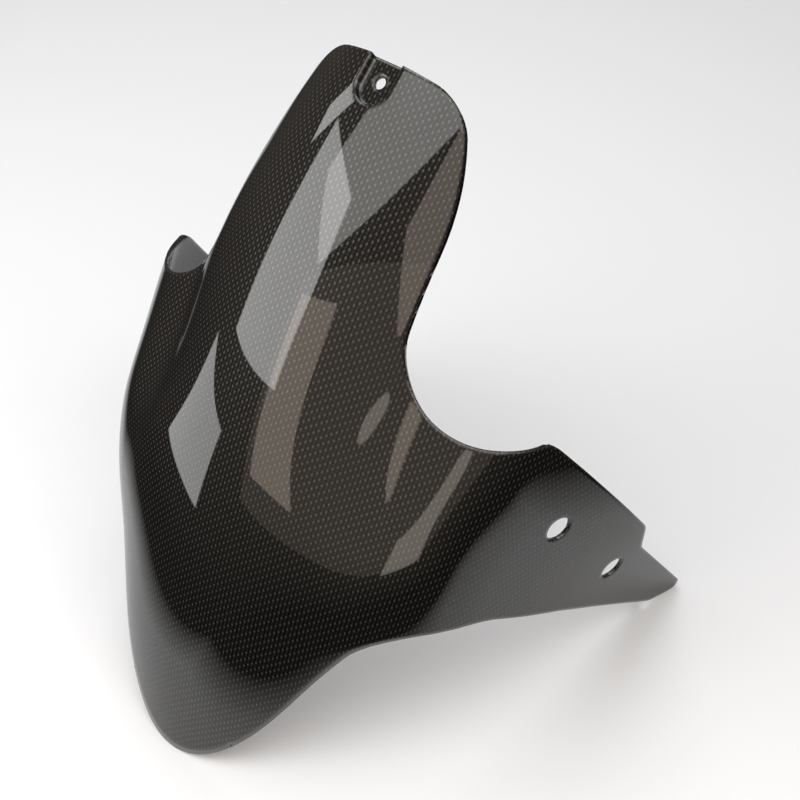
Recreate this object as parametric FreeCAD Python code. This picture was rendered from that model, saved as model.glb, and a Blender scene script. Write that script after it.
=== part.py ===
import FreeCAD, Part
import math
import os

V = FreeCAD.Vector

# Frame while modelling: X to the nose, Y across, Z up along the fork legs.
# The finished shell is pitched at the end so that it stands on the nose and both wing tips.

# wall of the moulding and the turned-in lip of its lower edge
wall = 2.0
lip_depth = 7.0
lip_thick = 2.4
lip_start_x = 0.0

# crown line: one arc from the tail end to the nose, seen from the side
crown_radius = 560.0
tail_end_x = -133.3
tail_end_z = 48.1
nose_x = 196.0
nose_z = -115.0

# stations along the crown where the cross section is set
stations = (
    # x, crown radius, shoulder sine, valley width, shelf sine, crest radius, wall sine
    (-140.0, 62.0, 0.840, 11.0, 0.21, 63.0, 0.948),
    (-80.0, 79.0, 0.750, 11.0, 0.21, 63.0, 0.948),
    (-35.0, 91.0, 0.680, 11.0, 0.21, 63.0, 0.948),
    (0.0, 89.0, 0.680, 12.0, 0.21, 62.0, 0.962),
    (38.0, 100.0, 0.574, 22.0, 0.31, 48.0, 0.962),
    (65.0, 124.0, 0.490, 20.0, 0.48, 58.0, 0.962),
    (90.0, 122.0, 0.495, 15.0, 0.60, 82.0, 0.962),
    (113.0, 101.0, 0.500, 10.1, 0.60, 101.0, 0.962),
    (150.0, 80.0, 0.500, 8.0, 0.60, 80.0, 0.962),
    (206.0, 50.0, 0.500, 5.0, 0.60, 50.0, 0.962),
)
side_radius = 420.0
wall_length = 240.0

# side outline of the wings and of the dome's lower edge
wing_end_x = -32.3
wing_end_z = -47.0
wing_end_round = 24.0
wing_end_low_x = -29.7
wing_step_x = -20.3
wing_step_top = -161.0
wing_step_low = -174.0
step_round = 9.0
tip_z = -268.0
tip_round = 4.0
wing_front = (
    (-1.0, -246.5, 14.0),
    (30.0, -155.0, 80.0),
    (52.0, -102.0, 60.0),
    (84.0, -63.5, 27.0),
)
fork_edge_x = -15.0
fork_edge_z = -28.0

# plan outline of the tail and of the cut-outs round the fork legs
tail_half = 56.0
fork_x = -41.0
fork_round = 31.5
fork_clearance = 2.0
fork_y = tail_half + fork_clearance + fork_round
tail_side_x = -62.0
tail_side_radius = 152.0
tail_corner_round = 20.0

# two screw holes in each wing, given by height, and the screw hole in the tail pocket
wing_hole_x = -2.5
wing_hole_z = (-92.8, -163.7)
wing_hole_radius = 6.7
tail_hole_radius = 2.9
tail_hole_inset = 10.5

# pocket round the tail screw
pocket_width = 18.0
pocket_length = 22.0
pocket_depth = 4.5

# points in each stretch of a half section, and stretches of the crown between rows
arch_steps = 5
valley_steps = 2
crest_steps = 5
wall_steps = 6
row_pitch = 14.0
far = 260.0


def fair(column):
    """A fair curve through one quantity's station values, read at any x."""
    curve = Part.BSplineCurve()
    spots = [V(row[0], row[column], 0) for row in stations]
    curve.interpolate(Points=spots, Parameters=[row[0] for row in stations])
    return curve


columns = [fair(k) for k in range(1, 7)]

# crown arc's centre, below the middle of the chord from tail end to nose
chord = V(nose_x - tail_end_x, 0, nose_z - tail_end_z)
chord_mid = V((nose_x + tail_end_x) / 2, 0, (nose_z + tail_end_z) / 2)
chord_up = V(-chord.z, 0, chord.x).normalize()
crown_centre = chord_mid - chord_up * math.sqrt(crown_radius**2 - (chord.Length / 2) ** 2)


def crown_z(x):
    return crown_centre.z + math.sqrt(crown_radius**2 - (x - crown_centre.x) ** 2)


def arc_step(spot, sine_from, sine_to, radius, part):
    """Follow an arc from one slope sine towards another; returns the drop and the way out."""
    sine = sine_from + (sine_to - sine_from) * part
    out = radius * (sine - sine_from)
    down = radius * (math.sqrt(1 - sine_from**2) - math.sqrt(1 - sine**2))
    return spot[0] + out, spot[1] + down


def half_section(x):
    """Outside points of one half, from the crown over shoulder, valley and crest to the wing's foot."""
    arch, shoulder, valley, shelf, crest, steep = [c.value(x).y for c in columns]
    points = []
    spot = (0.0, 0.0)
    for i in range(arch_steps):
        points.append(arc_step(spot, 0.0, shoulder, arch, i / arch_steps))
    spot = arc_step(spot, 0.0, shoulder, arch, 1.0)
    bend = valley / (shelf - shoulder) if abs(shelf - shoulder) > 0.004 else 0.0
    slope = shoulder / math.sqrt(1 - shoulder**2)
    for i in range(valley_steps + 1):
        part = i / valley_steps
        if bend:
            here = arc_step(spot, shoulder, shelf, bend, part)
        else:
            here = (spot[0] + valley * part, spot[1] + valley * part * slope)
        if i < valley_steps:
            points.append(here)
    spot = here
    for i in range(crest_steps):
        points.append(arc_step(spot, shelf, steep, crest, i / crest_steps))
    spot = arc_step(spot, shelf, steep, crest, 1.0)
    start = math.asin(steep)
    for i in range(wall_steps + 1):
        along = wall_length * i / wall_steps
        turn = min(start + along / side_radius, math.pi / 2)
        bent = (turn - start) * side_radius
        out = side_radius * (math.sin(turn) - math.sin(start))
        down = side_radius * (math.cos(start) - math.cos(turn)) + along - bent
        points.append((spot[0] + out, spot[1] + down))
    top = crown_z(x)
    return [V(x, out, top - down) for out, down in points]


def whole_row(x):
    half = half_section(x)
    return [V(p.x, -p.y, p.z) for p in reversed(half[1:])] + half


row_first = stations[0][0]
row_count = int((stations[-1][0] - row_first) / row_pitch) + 1
row_x = [row_first + (stations[-1][0] - row_first) * i / (row_count - 1) for i in range(row_count)]
outer_grid = [whole_row(x) for x in row_x]
last = len(outer_grid[0]) - 1


def normal_at(i, j):
    """Outward direction of the skin at one grid point."""
    a = outer_grid[max(i - 1, 0)][j]
    b = outer_grid[min(i + 1, row_count - 1)][j]
    c = outer_grid[i][max(j - 1, 0)]
    d = outer_grid[i][min(j + 1, last)]
    return (b - a).cross(d - c).normalize()


normals = [[normal_at(i, j) for j in range(last + 1)] for i in range(row_count)]


def skin(depth):
    """Smooth skin through the grid, moved inwards by depth."""
    surface = Part.BSplineSurface()
    grid = [
        [outer_grid[i][j] - normals[i][j] * depth for j in range(last + 1)] for i in range(row_count)
    ]
    surface.interpolate(grid)
    return surface


def border(surface, k):
    u0, u1, v0, v1 = surface.bounds()
    curves = (surface.uIso(u0), surface.vIso(v1), surface.uIso(u1), surface.vIso(v0))
    return curves[k].toShape()


def slab(depth):
    """Closed solid between the outside and a skin at this depth."""
    inner = skin(depth)
    faces = [outer.toShape(), inner.toShape()]
    for k in range(4):
        faces.append(Part.makeRuledSurface(border(outer, k), border(inner, k)))
    shell = Part.makeShell(faces)
    shell.sewShape()
    solid = Part.makeSolid(shell)
    if solid.Volume < 0:
        solid.reverse()
    return solid


def rounded(corners):
    """Closed wire of straight lines; each corner is (point, rounding radius)."""
    edges = []
    starts = []
    ends = []
    count = len(corners)
    for k in range(count):
        p, r = corners[k]
        a = (corners[k - 1][0] - p).normalize()
        b = (corners[(k + 1) % count][0] - p).normalize()
        if r == 0:
            starts.append(p)
            ends.append(p)
            continue
        half = a.getAngle(b) / 2
        cut = r / math.tan(half)
        starts.append(p + a * cut)
        ends.append(p + b * cut)
        middle = p + (a + b).normalize() * (r / math.sin(half) - r)
        edges.append((k, Part.Arc(starts[k], middle, ends[k]).toShape()))
    arcs = dict(edges)
    ordered = []
    for k in range(count):
        if k in arcs:
            ordered.append(arcs[k])
        ordered.append(Part.LineSegment(ends[k], starts[(k + 1) % count]).toShape())
    return Part.Wire(ordered)


outer = skin(0.0)
shell = slab(wall)
thick = slab(lip_depth)

# seen from the side: wing end with its step, tip, front edge of the wing and lower edge of the dome
slope_end = (nose_z - wing_front[-1][1]) / (nose_x - wing_front[-1][0])
side_corners = [
    (V(-far, 0, far), 0),
    (V(-far, 0, fork_edge_z), 0),
    (V(fork_edge_x, 0, fork_edge_z), 0),
    (V(wing_end_x, 0, wing_end_z), wing_end_round),
    (V(wing_end_low_x, 0, wing_step_top), step_round),
    (V(wing_step_x, 0, wing_step_low), step_round),
    (V(wing_step_x, 0, tip_z), tip_round),
]
side_corners += [(V(x, 0, z), r) for x, z, r in wing_front]
side_corners += [(V(far, 0, nose_z + slope_end * (far - nose_x)), 0), (V(far, 0, far), 0)]
side_wire = rounded(side_corners)


def across(wire):
    """Prism over the whole width from a wire in the side view."""
    face = Part.Face(wire)
    face.translate(V(0, -far, 0))
    return face.extrude(V(0, 2 * far, 0))


side_prism = across(side_wire)

# seen from above: fork cut-outs, tail sides and rounded tail end
fork = V(fork_x, fork_y, 0)
side_centre = V(tail_side_x, tail_half - tail_side_radius, 0)
# straight run that touches both the tail's side arc and the fork circle
gap = fork - side_centre
lean = math.atan2(gap.y, gap.x) + math.acos((tail_side_radius + fork_round) / gap.Length)
run_normal = V(math.cos(lean), math.sin(lean), 0)
run_tail = side_centre + run_normal * tail_side_radius
run_fork = fork - run_normal * fork_round
corner_x = tail_end_x + tail_corner_round
corner_reach = tail_side_radius - tail_corner_round
corner_mid_y = side_centre.y + math.sqrt(corner_reach**2 - (corner_x - tail_side_x) ** 2)
corner_centre = V(corner_x, corner_mid_y, 0)
meet_normal = (corner_centre - side_centre).normalize()
meet = side_centre + meet_normal * tail_side_radius
corner_turn = (meet_normal + V(-1, 0, 0)).normalize()
side_turn = (meet_normal + run_normal).normalize()
half_plan = [
    Part.LineSegment(V(far, 0, 0), V(far, far, 0)),
    Part.LineSegment(V(far, far, 0), V(fork_x, far, 0)),
    Part.LineSegment(V(fork_x, far, 0), fork + V(0, fork_round, 0)),
    Part.Arc(fork + V(0, fork_round, 0), fork + V(fork_round, 0, 0), run_fork),
    Part.LineSegment(run_fork, run_tail),
    Part.Arc(run_tail, side_centre + side_turn * tail_side_radius, meet),
    Part.Arc(meet, corner_centre + corner_turn * tail_corner_round, V(tail_end_x, corner_mid_y, 0)),
    Part.LineSegment(V(tail_end_x, corner_mid_y, 0), V(tail_end_x, 0, 0)),
    Part.LineSegment(V(tail_end_x, 0, 0), V(far, 0, 0)),
]
half_edges = [c.toShape() for c in half_plan]
half_prism = Part.Face(Part.Wire(half_edges)).extrude(V(0, 0, 2 * far))
half_prism.translate(V(0, 0, -far * 1.3))
plan_prism = half_prism.fuse(half_prism.mirror(V(0, 0, 0), V(0, 1, 0))).removeSplitter()

outline = side_prism.common(plan_prism)
body = shell.common(outline)

# turned-in lip along the lower edge of the wings and the dome
inside_wire = side_wire.makeOffset2D(-lip_thick)
lip_zone = Part.makeBox(far - lip_start_x, 2 * far, 2 * far, V(lip_start_x, -far, -far))
lip = thick.common(side_prism.cut(across(inside_wire)).common(lip_zone))
body = body.fuse(lip)

# pocket round the tail screw, sunk square to the crown and open at the tail end
tail_point = V(tail_end_x, 0, crown_z(tail_end_x))
tail_lean = math.degrees(math.asin((tail_end_x - crown_centre.x) / crown_radius))


def tail_tongue(half_width, low, high):
    """Prism with a round front end, set square to the crown at the tail end."""
    back = -pocket_length
    front = pocket_length - pocket_width / 2
    wire = Part.Wire(
        [
            Part.LineSegment(V(front, -half_width, low), V(back, -half_width, low)).toShape(),
            Part.LineSegment(V(back, -half_width, low), V(back, half_width, low)).toShape(),
            Part.LineSegment(V(back, half_width, low), V(front, half_width, low)).toShape(),
            Part.Arc(
                V(front, half_width, low), V(front + half_width, 0, low), V(front, -half_width, low)
            ).toShape(),
        ]
    )
    tongue = Part.Face(wire).extrude(V(0, 0, high - low))
    tongue.rotate(V(0, 0, 0), V(0, 1, 0), tail_lean)
    tongue.translate(tail_point)
    return tongue


half_pocket = pocket_width / 2
cup = tail_tongue(half_pocket + wall, -pocket_depth - wall, lip_depth).common(thick).common(outline)
body = body.fuse(cup).cut(tail_tongue(half_pocket, -pocket_depth, lip_depth))

# screw hole through the pocket floor
down = FreeCAD.Rotation(V(0, 1, 0), tail_lean)
tail_axis = down.multVec(V(0, 0, 1))
tail_hole = tail_point + down.multVec(V(tail_hole_inset, 0, -pocket_depth))
bore_reach = 3 * wall
body = body.cut(
    Part.makeCylinder(tail_hole_radius, 2 * bore_reach, tail_hole - tail_axis * bore_reach, tail_axis)
)

# two holes in each wing, square to the wing's outside
wing_holes = []
for hole_z in wing_hole_z:
    ray = Part.Line(V(wing_hole_x, 0, hole_z), V(wing_hole_x, 1, hole_z))
    hits = [V(p.X, p.Y, p.Z) for p in ray.intersectCS(outer)[0]]
    spot = [p for p in hits if p.y > 0][0]
    axis = outer.normal(*outer.parameter(spot))
    if axis.y < 0:
        axis = -axis
    for side in (1, -1):
        spot_side = V(spot.x, side * spot.y, spot.z)
        axis_side = V(axis.x, side * axis.y, axis.z)
        wing_holes.append((spot_side, axis_side))
        start = spot_side - axis_side * bore_reach
        body = body.cut(Part.makeCylinder(wing_hole_radius, 2 * bore_reach, start, axis_side))

# stand the shell on its nose and wing tips, with its origin under the middle of its box
tip_in = V(0, 0, 1)
tip_out = (V(wing_front[0][0], 0, wing_front[0][1]) - V(wing_step_x, 0, tip_z)).normalize()
tip_half = tip_in.getAngle(tip_out) / 2
tip_centre = V(wing_step_x, 0, tip_z) + (tip_in + tip_out).normalize() * (tip_round / math.sin(tip_half))
reach = V(nose_x, 0, nose_z) - tip_centre
pitch = math.degrees(math.atan2(reach.z, reach.x) + math.asin(tip_round / reach.Length))
body.rotate(V(0, 0, 0), V(0, 1, 0), pitch)
box = body.optimalBoundingBox(False, False)
body.translate(V(-(box.XMin + box.XMax) / 2, 0, -box.ZMin))

os.makedirs("parts", exist_ok=True)
body.Solids[0].exportStep("parts/mudguard_shell.step")
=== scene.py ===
import math

import bpy
import numpy as np
from mathutils import Matrix, Vector
from mathutils.bvhtree import BVHTree


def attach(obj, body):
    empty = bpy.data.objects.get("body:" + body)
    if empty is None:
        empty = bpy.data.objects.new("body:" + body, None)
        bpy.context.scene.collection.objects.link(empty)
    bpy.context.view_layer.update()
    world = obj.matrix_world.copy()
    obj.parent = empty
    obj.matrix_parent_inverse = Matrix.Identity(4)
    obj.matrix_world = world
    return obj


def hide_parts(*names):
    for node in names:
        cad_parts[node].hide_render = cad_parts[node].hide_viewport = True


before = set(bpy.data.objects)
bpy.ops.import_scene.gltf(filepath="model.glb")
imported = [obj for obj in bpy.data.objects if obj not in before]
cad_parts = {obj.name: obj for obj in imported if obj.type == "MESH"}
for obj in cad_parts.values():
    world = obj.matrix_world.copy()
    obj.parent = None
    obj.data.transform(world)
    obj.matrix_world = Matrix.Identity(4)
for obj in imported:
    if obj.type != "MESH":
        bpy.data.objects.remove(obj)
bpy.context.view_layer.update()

# CARBON SHELL: the whole mudguard, one thin moulding of plain weave carbon cloth under clear lacquer.
# It is laid up in a mould, trimmed round its edges and drilled for five screws.
# The piece is a finer copy of the solid, with its skin laid on the true curves.

# sizes are in millimetres, in a frame along the fork legs: X to the nose, Y across, Z up the legs
pitch = math.radians(34.77699)
stand_shift = np.array([34.4485, 0.0, 206.2559])
tail_end = np.array([-133.3, 48.1])
nose = np.array([196.0, -115.0])
crown_radius = 560.0
side_radius = 420.0
wall_thick = 2.0
wall_length = 240.0

# each row of the skin is a chain of arcs, with radii, widths and slopes that are set at stations along X
station_x = np.array([-140.0, -80.0, -35.0, 0.0, 38.0, 65.0, 90.0, 113.0, 150.0, 206.0])
arch_at = np.array([62.0, 79.0, 91.0, 89.0, 100.0, 124.0, 122.0, 101.0, 80.0, 50.0])
shoulder_at = np.array([0.84, 0.75, 0.68, 0.68, 0.574, 0.49, 0.495, 0.5, 0.5, 0.5])
hollow_at = np.array([11.0, 11.0, 11.0, 12.0, 22.0, 20.0, 15.0, 10.1, 8.0, 5.0])
shelf_at = np.array([0.21, 0.21, 0.21, 0.21, 0.31, 0.48, 0.6, 0.6, 0.6, 0.6])
crest_at = np.array([63.0, 63.0, 63.0, 62.0, 48.0, 58.0, 82.0, 101.0, 80.0, 50.0])
steep_at = np.array([0.948, 0.948, 0.948, 0.962, 0.962, 0.962, 0.962, 0.962, 0.962, 0.962])
row_count = 180
row_margin = 0.1
arch_steps = 40
hollow_steps = 16
crest_steps = 40
wall_steps = 40


def fair(values, x):
    """Natural cubic through the station values, read at every x."""
    gap = np.diff(station_x)
    count = len(station_x)
    balance = np.eye(count)
    kink = np.zeros(count)
    for i in range(1, count - 1):
        balance[i, i - 1 : i + 2] = gap[i - 1], 2 * (gap[i - 1] + gap[i]), gap[i]
        kink[i] = 6 * ((values[i + 1] - values[i]) / gap[i] - (values[i] - values[i - 1]) / gap[i - 1])
    bend = np.linalg.solve(balance, kink)
    k = np.clip(np.searchsorted(station_x, x) - 1, 0, count - 2)
    to_next = station_x[k + 1] - x
    from_last = x - station_x[k]
    return (
        bend[k] * to_next**3 / (6 * gap[k])
        + bend[k + 1] * from_last**3 / (6 * gap[k])
        + (values[k] / gap[k] - bend[k] * gap[k] / 6) * to_next
        + (values[k + 1] / gap[k] - bend[k + 1] * gap[k] / 6) * from_last
    )


# the crown line is one arc from tail to nose, seen from the side
rows = np.linspace(station_x[0] + row_margin, station_x[-1] - row_margin, row_count)
chord = nose - tail_end
chord_up = np.array([-chord[1], chord[0]]) / np.linalg.norm(chord)
crown_centre = (nose + tail_end) / 2 - chord_up * math.sqrt(crown_radius**2 - (chord @ chord) / 4)
crown_z = crown_centre[1] + np.sqrt(crown_radius**2 - (rows - crown_centre[0]) ** 2)
crown_run = crown_radius * np.arcsin((rows - crown_centre[0]) / crown_radius)

# from the crown outwards and down: tail arch, hollow, wing crest and wing wall
arch = fair(arch_at, rows)
shoulder = fair(shoulder_at, rows)
hollow = fair(hollow_at, rows)
shelf = fair(shelf_at, rows)
crest = fair(crest_at, rows)
steep = fair(steep_at, rows)
out = [np.zeros_like(rows)]
down = [np.zeros_like(rows)]
for share in np.linspace(0, 1, arch_steps + 1)[1:]:
    slope = shoulder * share
    out.append(arch * slope)
    down.append(arch * (1 - np.sqrt(1 - slope**2)))
arch_out = out[-1]
arch_down = down[-1]
for share in np.linspace(0, 1, hollow_steps + 1)[1:]:
    slope = shoulder + (shelf - shoulder) * share
    middle = (shoulder + slope) / 2
    out.append(arch_out + hollow * share)
    down.append(arch_down + hollow * share * middle / np.sqrt(1 - middle**2))
hollow_out = out[-1]
hollow_down = down[-1]
for share in np.linspace(0, 1, crest_steps + 1)[1:]:
    slope = shelf + (steep - shelf) * share
    out.append(hollow_out + crest * (slope - shelf))
    down.append(hollow_down + crest * (np.sqrt(1 - shelf**2) - np.sqrt(1 - slope**2)))
crest_out = out[-1]
crest_down = down[-1]
steep_angle = np.arcsin(steep)
for share in np.linspace(0, 1, wall_steps + 1)[1:]:
    along = wall_length * share
    lean = np.minimum(steep_angle + along / side_radius, math.pi / 2)
    bent = (lean - steep_angle) * side_radius
    out.append(crest_out + side_radius * (np.sin(lean) - np.sin(steep_angle)))
    down.append(crest_down + side_radius * (np.cos(steep_angle) - np.cos(lean)) + along - bent)
out = np.array(out).T
down = np.array(down).T

# both halves of the skin, stood up as on the floor, with the run of the cloth along and across
round_run = np.cumsum(np.hypot(np.diff(out, axis=1), np.diff(down, axis=1)), axis=1)
round_run = np.hstack([np.zeros((row_count, 1)), round_run])
half = np.dstack([np.repeat(rows[:, None], out.shape[1], 1), out, crown_z[:, None] - down])
skin = np.concatenate([(half * [1, -1, 1])[:, :0:-1], half], axis=1)
skin_v = np.hstack([-round_run[:, :0:-1], round_run])
skin_u = np.repeat(crown_run[:, None], skin.shape[1], 1)
stand = np.array(Matrix.Rotation(pitch, 3, "Y"))
skin = (skin @ stand.T + stand_shift) / 1000
skin_normal = np.cross(np.gradient(skin, axis=0), np.gradient(skin, axis=1))
skin_normal /= np.linalg.norm(skin_normal, axis=2)[:, :, None]
count_u, count_v = skin.shape[:2]
corner = np.arange(count_u * count_v).reshape(count_u, count_v)
quads = [corner[:-1, :-1], corner[1:, :-1], corner[1:, 1:], corner[:-1, 1:]]
tris = np.concatenate(
    [np.stack([quads[k].ravel() for k in ring], 1) for ring in ((0, 1, 2), (0, 2, 3))]
)
points = skin.reshape(-1, 3)
point_normal = skin_normal.reshape(-1, 3)
point_uv = np.stack([skin_u.ravel(), skin_v.ravel()], 1) / 1000
tree = BVHTree.FromPolygons([Vector(p) for p in points], [tuple(t) for t in tris])

# the copy of the solid, welded and cut once finer
weld = 0.00002
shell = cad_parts["mudguard_shell"].copy()
shell.data = shell.data.copy()
shell.name = "carbon_shell"
shell.parent = None
bpy.context.scene.collection.objects.link(shell)
bpy.ops.object.select_all(action="DESELECT")
shell.select_set(True)
bpy.context.view_layer.objects.active = shell
bpy.ops.object.mode_set(mode="EDIT")
bpy.ops.mesh.select_all(action="SELECT")
bpy.ops.mesh.customdata_custom_splitnormals_clear()
bpy.ops.mesh.remove_doubles(threshold=weld)
bpy.ops.mesh.subdivide(number_cuts=1)
bpy.ops.mesh.quads_convert_to_tris()
bpy.ops.object.mode_set(mode="OBJECT")

# the nearest place on the true skin for each vertex, and its depth in millimetres below it
mesh = shell.data
co = np.array([v.co for v in mesh.vertices])
found = [tree.find_nearest(Vector(p)) for p in co]
spot = np.array([f[0] for f in found])
near = np.array([f[3] for f in found]) * 1000
tri = tris[[f[2] for f in found]]
corner_a = points[tri[:, 0]]
side_b = points[tri[:, 1]] - corner_a
side_c = points[tri[:, 2]] - corner_a
inside = spot - corner_a
tri_cross = np.cross(side_b, side_c)
tri_square = np.einsum("ij,ij->i", tri_cross, tri_cross)
weight_b = np.einsum("ij,ij->i", np.cross(inside, side_c), tri_cross) / tri_square
weight_c = np.einsum("ij,ij->i", np.cross(side_b, inside), tri_cross) / tri_square
weights = np.stack([1 - weight_b - weight_c, weight_b, weight_c], 1)
true_normal = np.einsum("ij,ijk->ik", weights, point_normal[tri])
true_normal /= np.linalg.norm(true_normal, axis=1)[:, None]
fabric_uv = np.einsum("ij,ijk->ik", weights, point_uv[tri])
depth = -np.einsum("ij,ij->i", co - spot, true_normal) * 1000

# skin vertices go onto the true curves, and their corners take the true direction of the skin
skin_reach = 0.85
same_way = 0.8
crease = math.radians(32)
on_outer = near < skin_reach
on_inner = np.abs(depth - wall_thick) < skin_reach
co[on_outer] = spot[on_outer]
co[on_inner] = spot[on_inner] - true_normal[on_inner] * wall_thick / 1000
mesh.vertices.foreach_set("co", co.ravel())
mesh.update()
face_normal = np.array([p.normal for p in mesh.polygons])
face_corner = np.array([p.vertices[:] for p in mesh.polygons])
facing = np.einsum("ijk,ik->ij", true_normal[face_corner], face_normal)
outer_face = on_outer[face_corner].all(1) & (facing.min(1) > same_way)
inner_face = on_inner[face_corner].all(1) & (facing.max(1) < -same_way)
bpy.ops.object.shade_smooth_by_angle(angle=crease)
corner_normal = np.array([n.vector for n in mesh.corner_normals]).reshape(-1, 3, 3)
corner_normal[outer_face] = true_normal[face_corner[outer_face]]
corner_normal[inner_face] = -true_normal[face_corner[inner_face]]
mesh.normals_split_custom_set([tuple(n) for n in corner_normal.reshape(-1, 3)])
fabric = mesh.uv_layers.new(name="fabric")
fabric.data.foreach_set("uv", fabric_uv[face_corner].reshape(-1))
mesh.uv_layers.active = fabric

# the finish is carbon cloth in dark resin under lacquer: a plain weave of tows, each a bundle of fibres,
# with a painted highlight on each crossing
tow = 0.002
tow_curve = 2.9
fibre_along = 400.0
fibre_across = 9000.0
glint_sharpness = 5.0
dim_glint = 0.2
edge_darkening_softness = 0.25
streak_least = 0.65
streak_swing = 0.7
dark_resin = (0.003, 0.0028, 0.0025, 1)
# the colour at the top of each painted highlight line
painted_highlight_colour = (0.080, 0.075, 0.068, 1)
weave_relief = 0.00012
rim_round = 0.003
carbon = bpy.data.materials.new("carbon_clearcoat")
carbon.use_nodes = True
nodes = carbon.node_tree.nodes
links = carbon.node_tree.links
shader = nodes["Principled BSDF"]
uv = nodes.new("ShaderNodeUVMap")
uv.uv_map = "fabric"
split = nodes.new("ShaderNodeSeparateXYZ")
links.new(uv.outputs["UV"], split.inputs["Vector"])


def weave(operation, first, second=None):
    """One step of the weave's arithmetic, on numbers or on what earlier steps gave."""
    node = nodes.new("ShaderNodeMath")
    node.operation = operation
    for k, value in enumerate((first, second)):
        if value is None:
            continue
        if isinstance(value, (int, float)):
            node.inputs[k].default_value = value
        else:
            links.new(value, node.inputs[k])
    return node.outputs[0]


# each cell is one crossing, and the tow on top runs along in one set of cells and across in the other
warp = weave("DIVIDE", split.outputs["X"], tow)
weft = weave("DIVIDE", split.outputs["Y"], tow)
warp_mid = weave("SUBTRACT", weave("FRACT", warp), 0.5)
weft_mid = weave("SUBTRACT", weave("FRACT", weft), 0.5)
over = weave("MODULO", weave("ADD", weave("FLOOR", warp), weave("FLOOR", weft)), 2.0)
over = weave("GREATER_THAN", weave("ABSOLUTE", over), 0.5)
warp_arch = weave("COSINE", weave("MULTIPLY", warp_mid, tow_curve))
weft_arch = weave("COSINE", weave("MULTIPLY", weft_mid, tow_curve))
pillow = weave("MULTIPLY", warp_arch, weft_arch)

# the fibres in a tow are fine streaks along it
fibre_x = nodes.new("ShaderNodeTexNoise")
fibre_y = nodes.new("ShaderNodeTexNoise")
for texture, stretch in (
    (fibre_x, (fibre_along, fibre_across, 1.0)),
    (fibre_y, (fibre_across, fibre_along, 1.0)),
):
    place = nodes.new("ShaderNodeMapping")
    place.inputs["Scale"].default_value = stretch
    links.new(uv.outputs["UV"], place.inputs["Vector"])
    links.new(place.outputs["Vector"], texture.inputs["Vector"])
    texture.inputs["Scale"].default_value = 1.0
    texture.inputs["Detail"].default_value = 2.0
fibre = nodes.new("ShaderNodeMix")
links.new(over, fibre.inputs[0])
links.new(fibre_x.outputs["Fac"], fibre.inputs[2])
links.new(fibre_y.outputs["Fac"], fibre.inputs[3])

# each crossing has a painted highlight in its colour: a short light line, painted brighter on the tows
# that run across
painted_highlight_line = weave("MULTIPLY", weave("POWER", weft_arch, glint_sharpness), warp_arch)
# painted highlight: full on the crosswise tows, weaker on the others
painted_highlight_share = weave("ADD", weave("MULTIPLY", over, 1 - dim_glint), dim_glint)
tone = nodes.new("ShaderNodeMix")
tone.data_type = "RGBA"
tone.inputs[6].default_value = dark_resin
tone.inputs[7].default_value = painted_highlight_colour
links.new(weave("MULTIPLY", painted_highlight_share, painted_highlight_line), tone.inputs[0])
# the colour is darker towards the edges of each crossing, following the arch of the tows
edge_darkening = weave("POWER", pillow, edge_darkening_softness)
streak = weave("ADD", weave("MULTIPLY", fibre.outputs[0], streak_swing), streak_least)
level = weave("MULTIPLY", edge_darkening, streak)
grey = nodes.new("ShaderNodeCombineColor")
for k in range(3):
    links.new(level, grey.inputs[k])
shade = nodes.new("ShaderNodeMix")
shade.data_type = "RGBA"
shade.blend_type = "MULTIPLY"
shade.inputs[0].default_value = 1.0
links.new(tone.outputs[2], shade.inputs[6])
links.new(grey.outputs["Color"], shade.inputs[7])
links.new(shade.outputs[2], shader.inputs["Base Color"])

# the rims are rounded under the lacquer, and the tows stand up a little below it
rounded = nodes.new("ShaderNodeBevel")
rounded.samples = 8
rounded.inputs["Radius"].default_value = rim_round
bump = nodes.new("ShaderNodeBump")
bump.inputs["Strength"].default_value = 0.5
bump.inputs["Distance"].default_value = weave_relief
links.new(pillow, bump.inputs["Height"])
links.new(rounded.outputs["Normal"], bump.inputs["Normal"])
links.new(rounded.outputs["Normal"], shader.inputs["Coat Normal"])
links.new(bump.outputs["Normal"], shader.inputs["Normal"])
tangent = nodes.new("ShaderNodeTangent")
tangent.direction_type = "UV_MAP"
tangent.uv_map = "fabric"
links.new(tangent.outputs["Tangent"], shader.inputs["Tangent"])
links.new(weave("MULTIPLY", over, 0.25), shader.inputs["Anisotropic Rotation"])
shader.inputs["Metallic"].default_value = 0.5
shader.inputs["Roughness"].default_value = 0.36
shader.inputs["Specular IOR Level"].default_value = 0.0
shader.inputs["Specular Tint"].default_value = (0.15, 0.15, 0.15, 1)
shader.inputs["Anisotropic"].default_value = 0.7
shader.inputs["Coat Weight"].default_value = 0.82
shader.inputs["Coat Roughness"].default_value = 0.02
shader.inputs["Coat IOR"].default_value = 1.7

shell.data.materials.clear()
shell.data.materials.append(carbon)
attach(shell, "root")
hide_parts("mudguard_shell")

# FLOOR: a plain pale sheet for the mudguard to stand on, as large as the camera sees.
# A soft border round it fades out, so that its edge shows little in the gloss.
floor_inner = [(0.215, -0.042, 0), (-0.053, 0.270, 0), (-0.80, -0.148, 0), (-0.31, -0.73, 0)]
floor_outer = [(0.310, -0.045, 0), (-0.020, 0.450, 0), (-1.05, -0.100, 0), (-0.33, -0.90, 0)]
floor_faces = [(0, 1, 2, 3)] + [(k, k + 4, (k + 1) % 4 + 4, (k + 1) % 4) for k in range(4)]
paper_tint = (0.72, 0.73, 0.75, 1)
floor_mesh = bpy.data.meshes.new("floor")
floor_mesh.from_pydata(floor_inner + floor_outer, [], floor_faces)
fade = floor_mesh.attributes.new("fade", "FLOAT", "POINT")
fade.data.foreach_set("value", [1.0] * len(floor_inner) + [0.0] * len(floor_outer))
floor = bpy.data.objects.new("floor", floor_mesh)
bpy.context.scene.collection.objects.link(floor)
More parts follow.
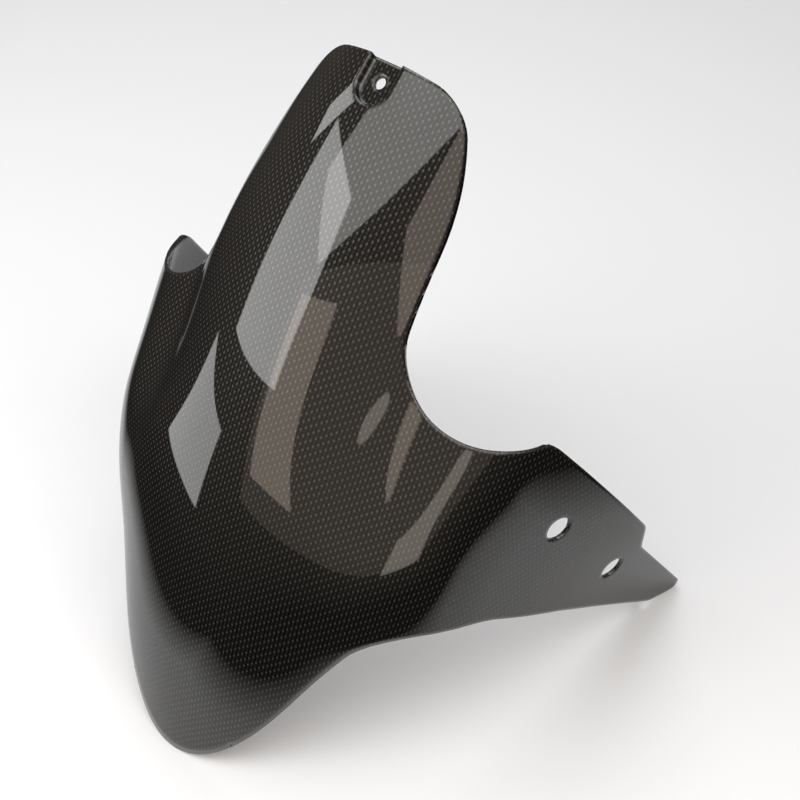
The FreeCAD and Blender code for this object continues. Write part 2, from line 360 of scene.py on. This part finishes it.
paper = bpy.data.materials.new("pale_floor")
paper.use_nodes = True
paper_nodes = paper.node_tree.nodes
paper_links = paper.node_tree.links
paper_shader = paper_nodes["Principled BSDF"]
paper_shader.inputs["Base Color"].default_value = paper_tint
paper_shader.inputs["Roughness"].default_value = 0.9
paper_shader.inputs["Specular IOR Level"].default_value = 0.1
paper_fade = paper_nodes.new("ShaderNodeAttribute")
paper_fade.attribute_name = "fade"
paper_clear = paper_nodes.new("ShaderNodeBsdfTransparent")
paper_mix = paper_nodes.new("ShaderNodeMixShader")
paper_links.new(paper_fade.outputs["Fac"], paper_mix.inputs["Fac"])
paper_links.new(paper_clear.outputs["BSDF"], paper_mix.inputs[1])
paper_links.new(paper_shader.outputs["BSDF"], paper_mix.inputs[2])
paper_links.new(paper_mix.outputs["Shader"], paper_nodes["Material Output"].inputs["Surface"])
floor.data.materials.append(paper)

# LIGHT: a wide pale ceiling panel, a window in front on the far side, smaller panes and dim warm walls.
# Each lamp has a place, the point that it faces, a size, a roll, a brightness and a tint.
# Its power grows with its area, so that its face shows the stated brightness.
for name, place, aim, size, roll, bright, tint in (
    ("ceiling_panel", (0.56, 0.14, 1.18), (0.56, 0.14, 0), (0.75, 2.4), 39.0, 2.25, (1, 0.98, 0.95)),
    ("window", (0.83, -0.60, 0.68), (0.02, 0, 0.23), (0.80, 0.62), 12.0, 3.8, (1, 1, 1)),
    ("window_stripe", (0.36, -0.86, 0.80), (0, 0, 0.28), (0.10, 0.36), -30.0, 4.0, (1, 1, 1)),
    ("low_window", (0.57, -0.64, 0.085), (0.068, -0.025, 0.09), (0.42, 0.19), 0.0, 2.9, (1, 1, 1)),
    ("back_window", (1.03, 0.84, 0.22), (0.03, 0.09, 0.20), (0.55, 0.32), 0.0, 1.7, (1, 0.92, 0.80)),
    ("wall_panel", (1.00, 0.42, 0.52), (0, 0, 0.22), (2.1, 0.85), 0.0, 0.3, (1, 0.82, 0.66)),
    ("wall_light", (1.10, -0.12, 0.50), (0.03, 0.02, 0.22), (0.46, 0.52), 8.0, 1.55, (1, 0.88, 0.74)),
    ("side_wall", (0.42, 0.98, 0.86), (0, 0.05, 0.26), (0.9, 0.5), 0.0, 1.35, (1, 0.86, 0.74)),
    ("rear_ceiling", (-0.5, -0.4, 1.2), (-0.5, -0.4, 0), (0.8, 0.8), 0.0, 3.0, (0.94, 0.97, 1)),
    ("side_window", (-0.12, 0.66, 0.88), (-0.02, 0.08, 0.22), (0.22, 0.8), 0.0, 2.2, (1, 1, 1)),
):
    bpy.ops.object.light_add(type="AREA", location=place)
    lamp = bpy.context.active_object
    lamp.name = name
    lamp.data.shape = "RECTANGLE"
    lamp.data.size = size[0]
    lamp.data.size_y = size[1]
    lamp.data.energy = bright * math.pi * size[0] * size[1]
    lamp.data.color = tint
    look = (Vector(aim) - Vector(place)).to_track_quat("-Z", "Y").to_matrix()
    lamp.rotation_euler = (look @ Matrix.Rotation(math.radians(roll), 3, "Z")).to_euler()

# the room round the lamps is dim, darker below than above, with a pale ceiling overhead
room_below = (0.05, 0.047, 0.044, 1)
room_round = (0.26, 0.235, 0.21, 1)
room_above = (0.65, 0.65, 0.65, 1)
world = bpy.data.worlds.new("studio")
bpy.context.scene.world = world
world.use_nodes = True
room_nodes = world.node_tree.nodes
room_links = world.node_tree.links
room_place = room_nodes.new("ShaderNodeTexCoord")
room_split = room_nodes.new("ShaderNodeSeparateXYZ")
room_height = room_nodes.new("ShaderNodeMapRange")
room_height.inputs["From Min"].default_value = -1.0
room_tone = room_nodes.new("ShaderNodeValToRGB")
room_ramp = room_tone.color_ramp.elements
room_ramp[0].position = 0.33
room_ramp[0].color = room_below
room_ramp[1].position = 0.58
room_ramp[1].color = room_round
room_ramp.new(0.88).color = room_round
room_ramp.new(0.94).color = room_above
room_links.new(room_place.outputs["Generated"], room_split.inputs["Vector"])
room_links.new(room_split.outputs["Z"], room_height.inputs["Value"])
room_links.new(room_height.outputs["Result"], room_tone.inputs["Fac"])
room_links.new(room_tone.outputs["Color"], room_nodes["Background"].inputs["Color"])

# CAMERA: stands in front of the near wing and looks down on the shell, as in the photograph.
# Its direction is given by the picture's right-hand side and by the line of sight.
camera_place = (0.3802, 0.387, 0.6605)
picture_right = Vector((-0.6587, 0.7523, -0.0107))
line_of_sight = Vector((-0.5429, -0.4851, -0.6855))
bpy.ops.object.camera_add(location=camera_place)
camera = bpy.context.active_object
camera.data.lens = 67.5
camera.data.sensor_width = 36.0
ahead = line_of_sight.normalized()
up = picture_right.cross(ahead).normalized()
right = ahead.cross(up)
camera.rotation_euler = Matrix((right, up, -ahead)).transposed().to_euler()
bpy.context.scene.camera = camera
bpy.context.scene.view_settings.view_transform = "Standard"
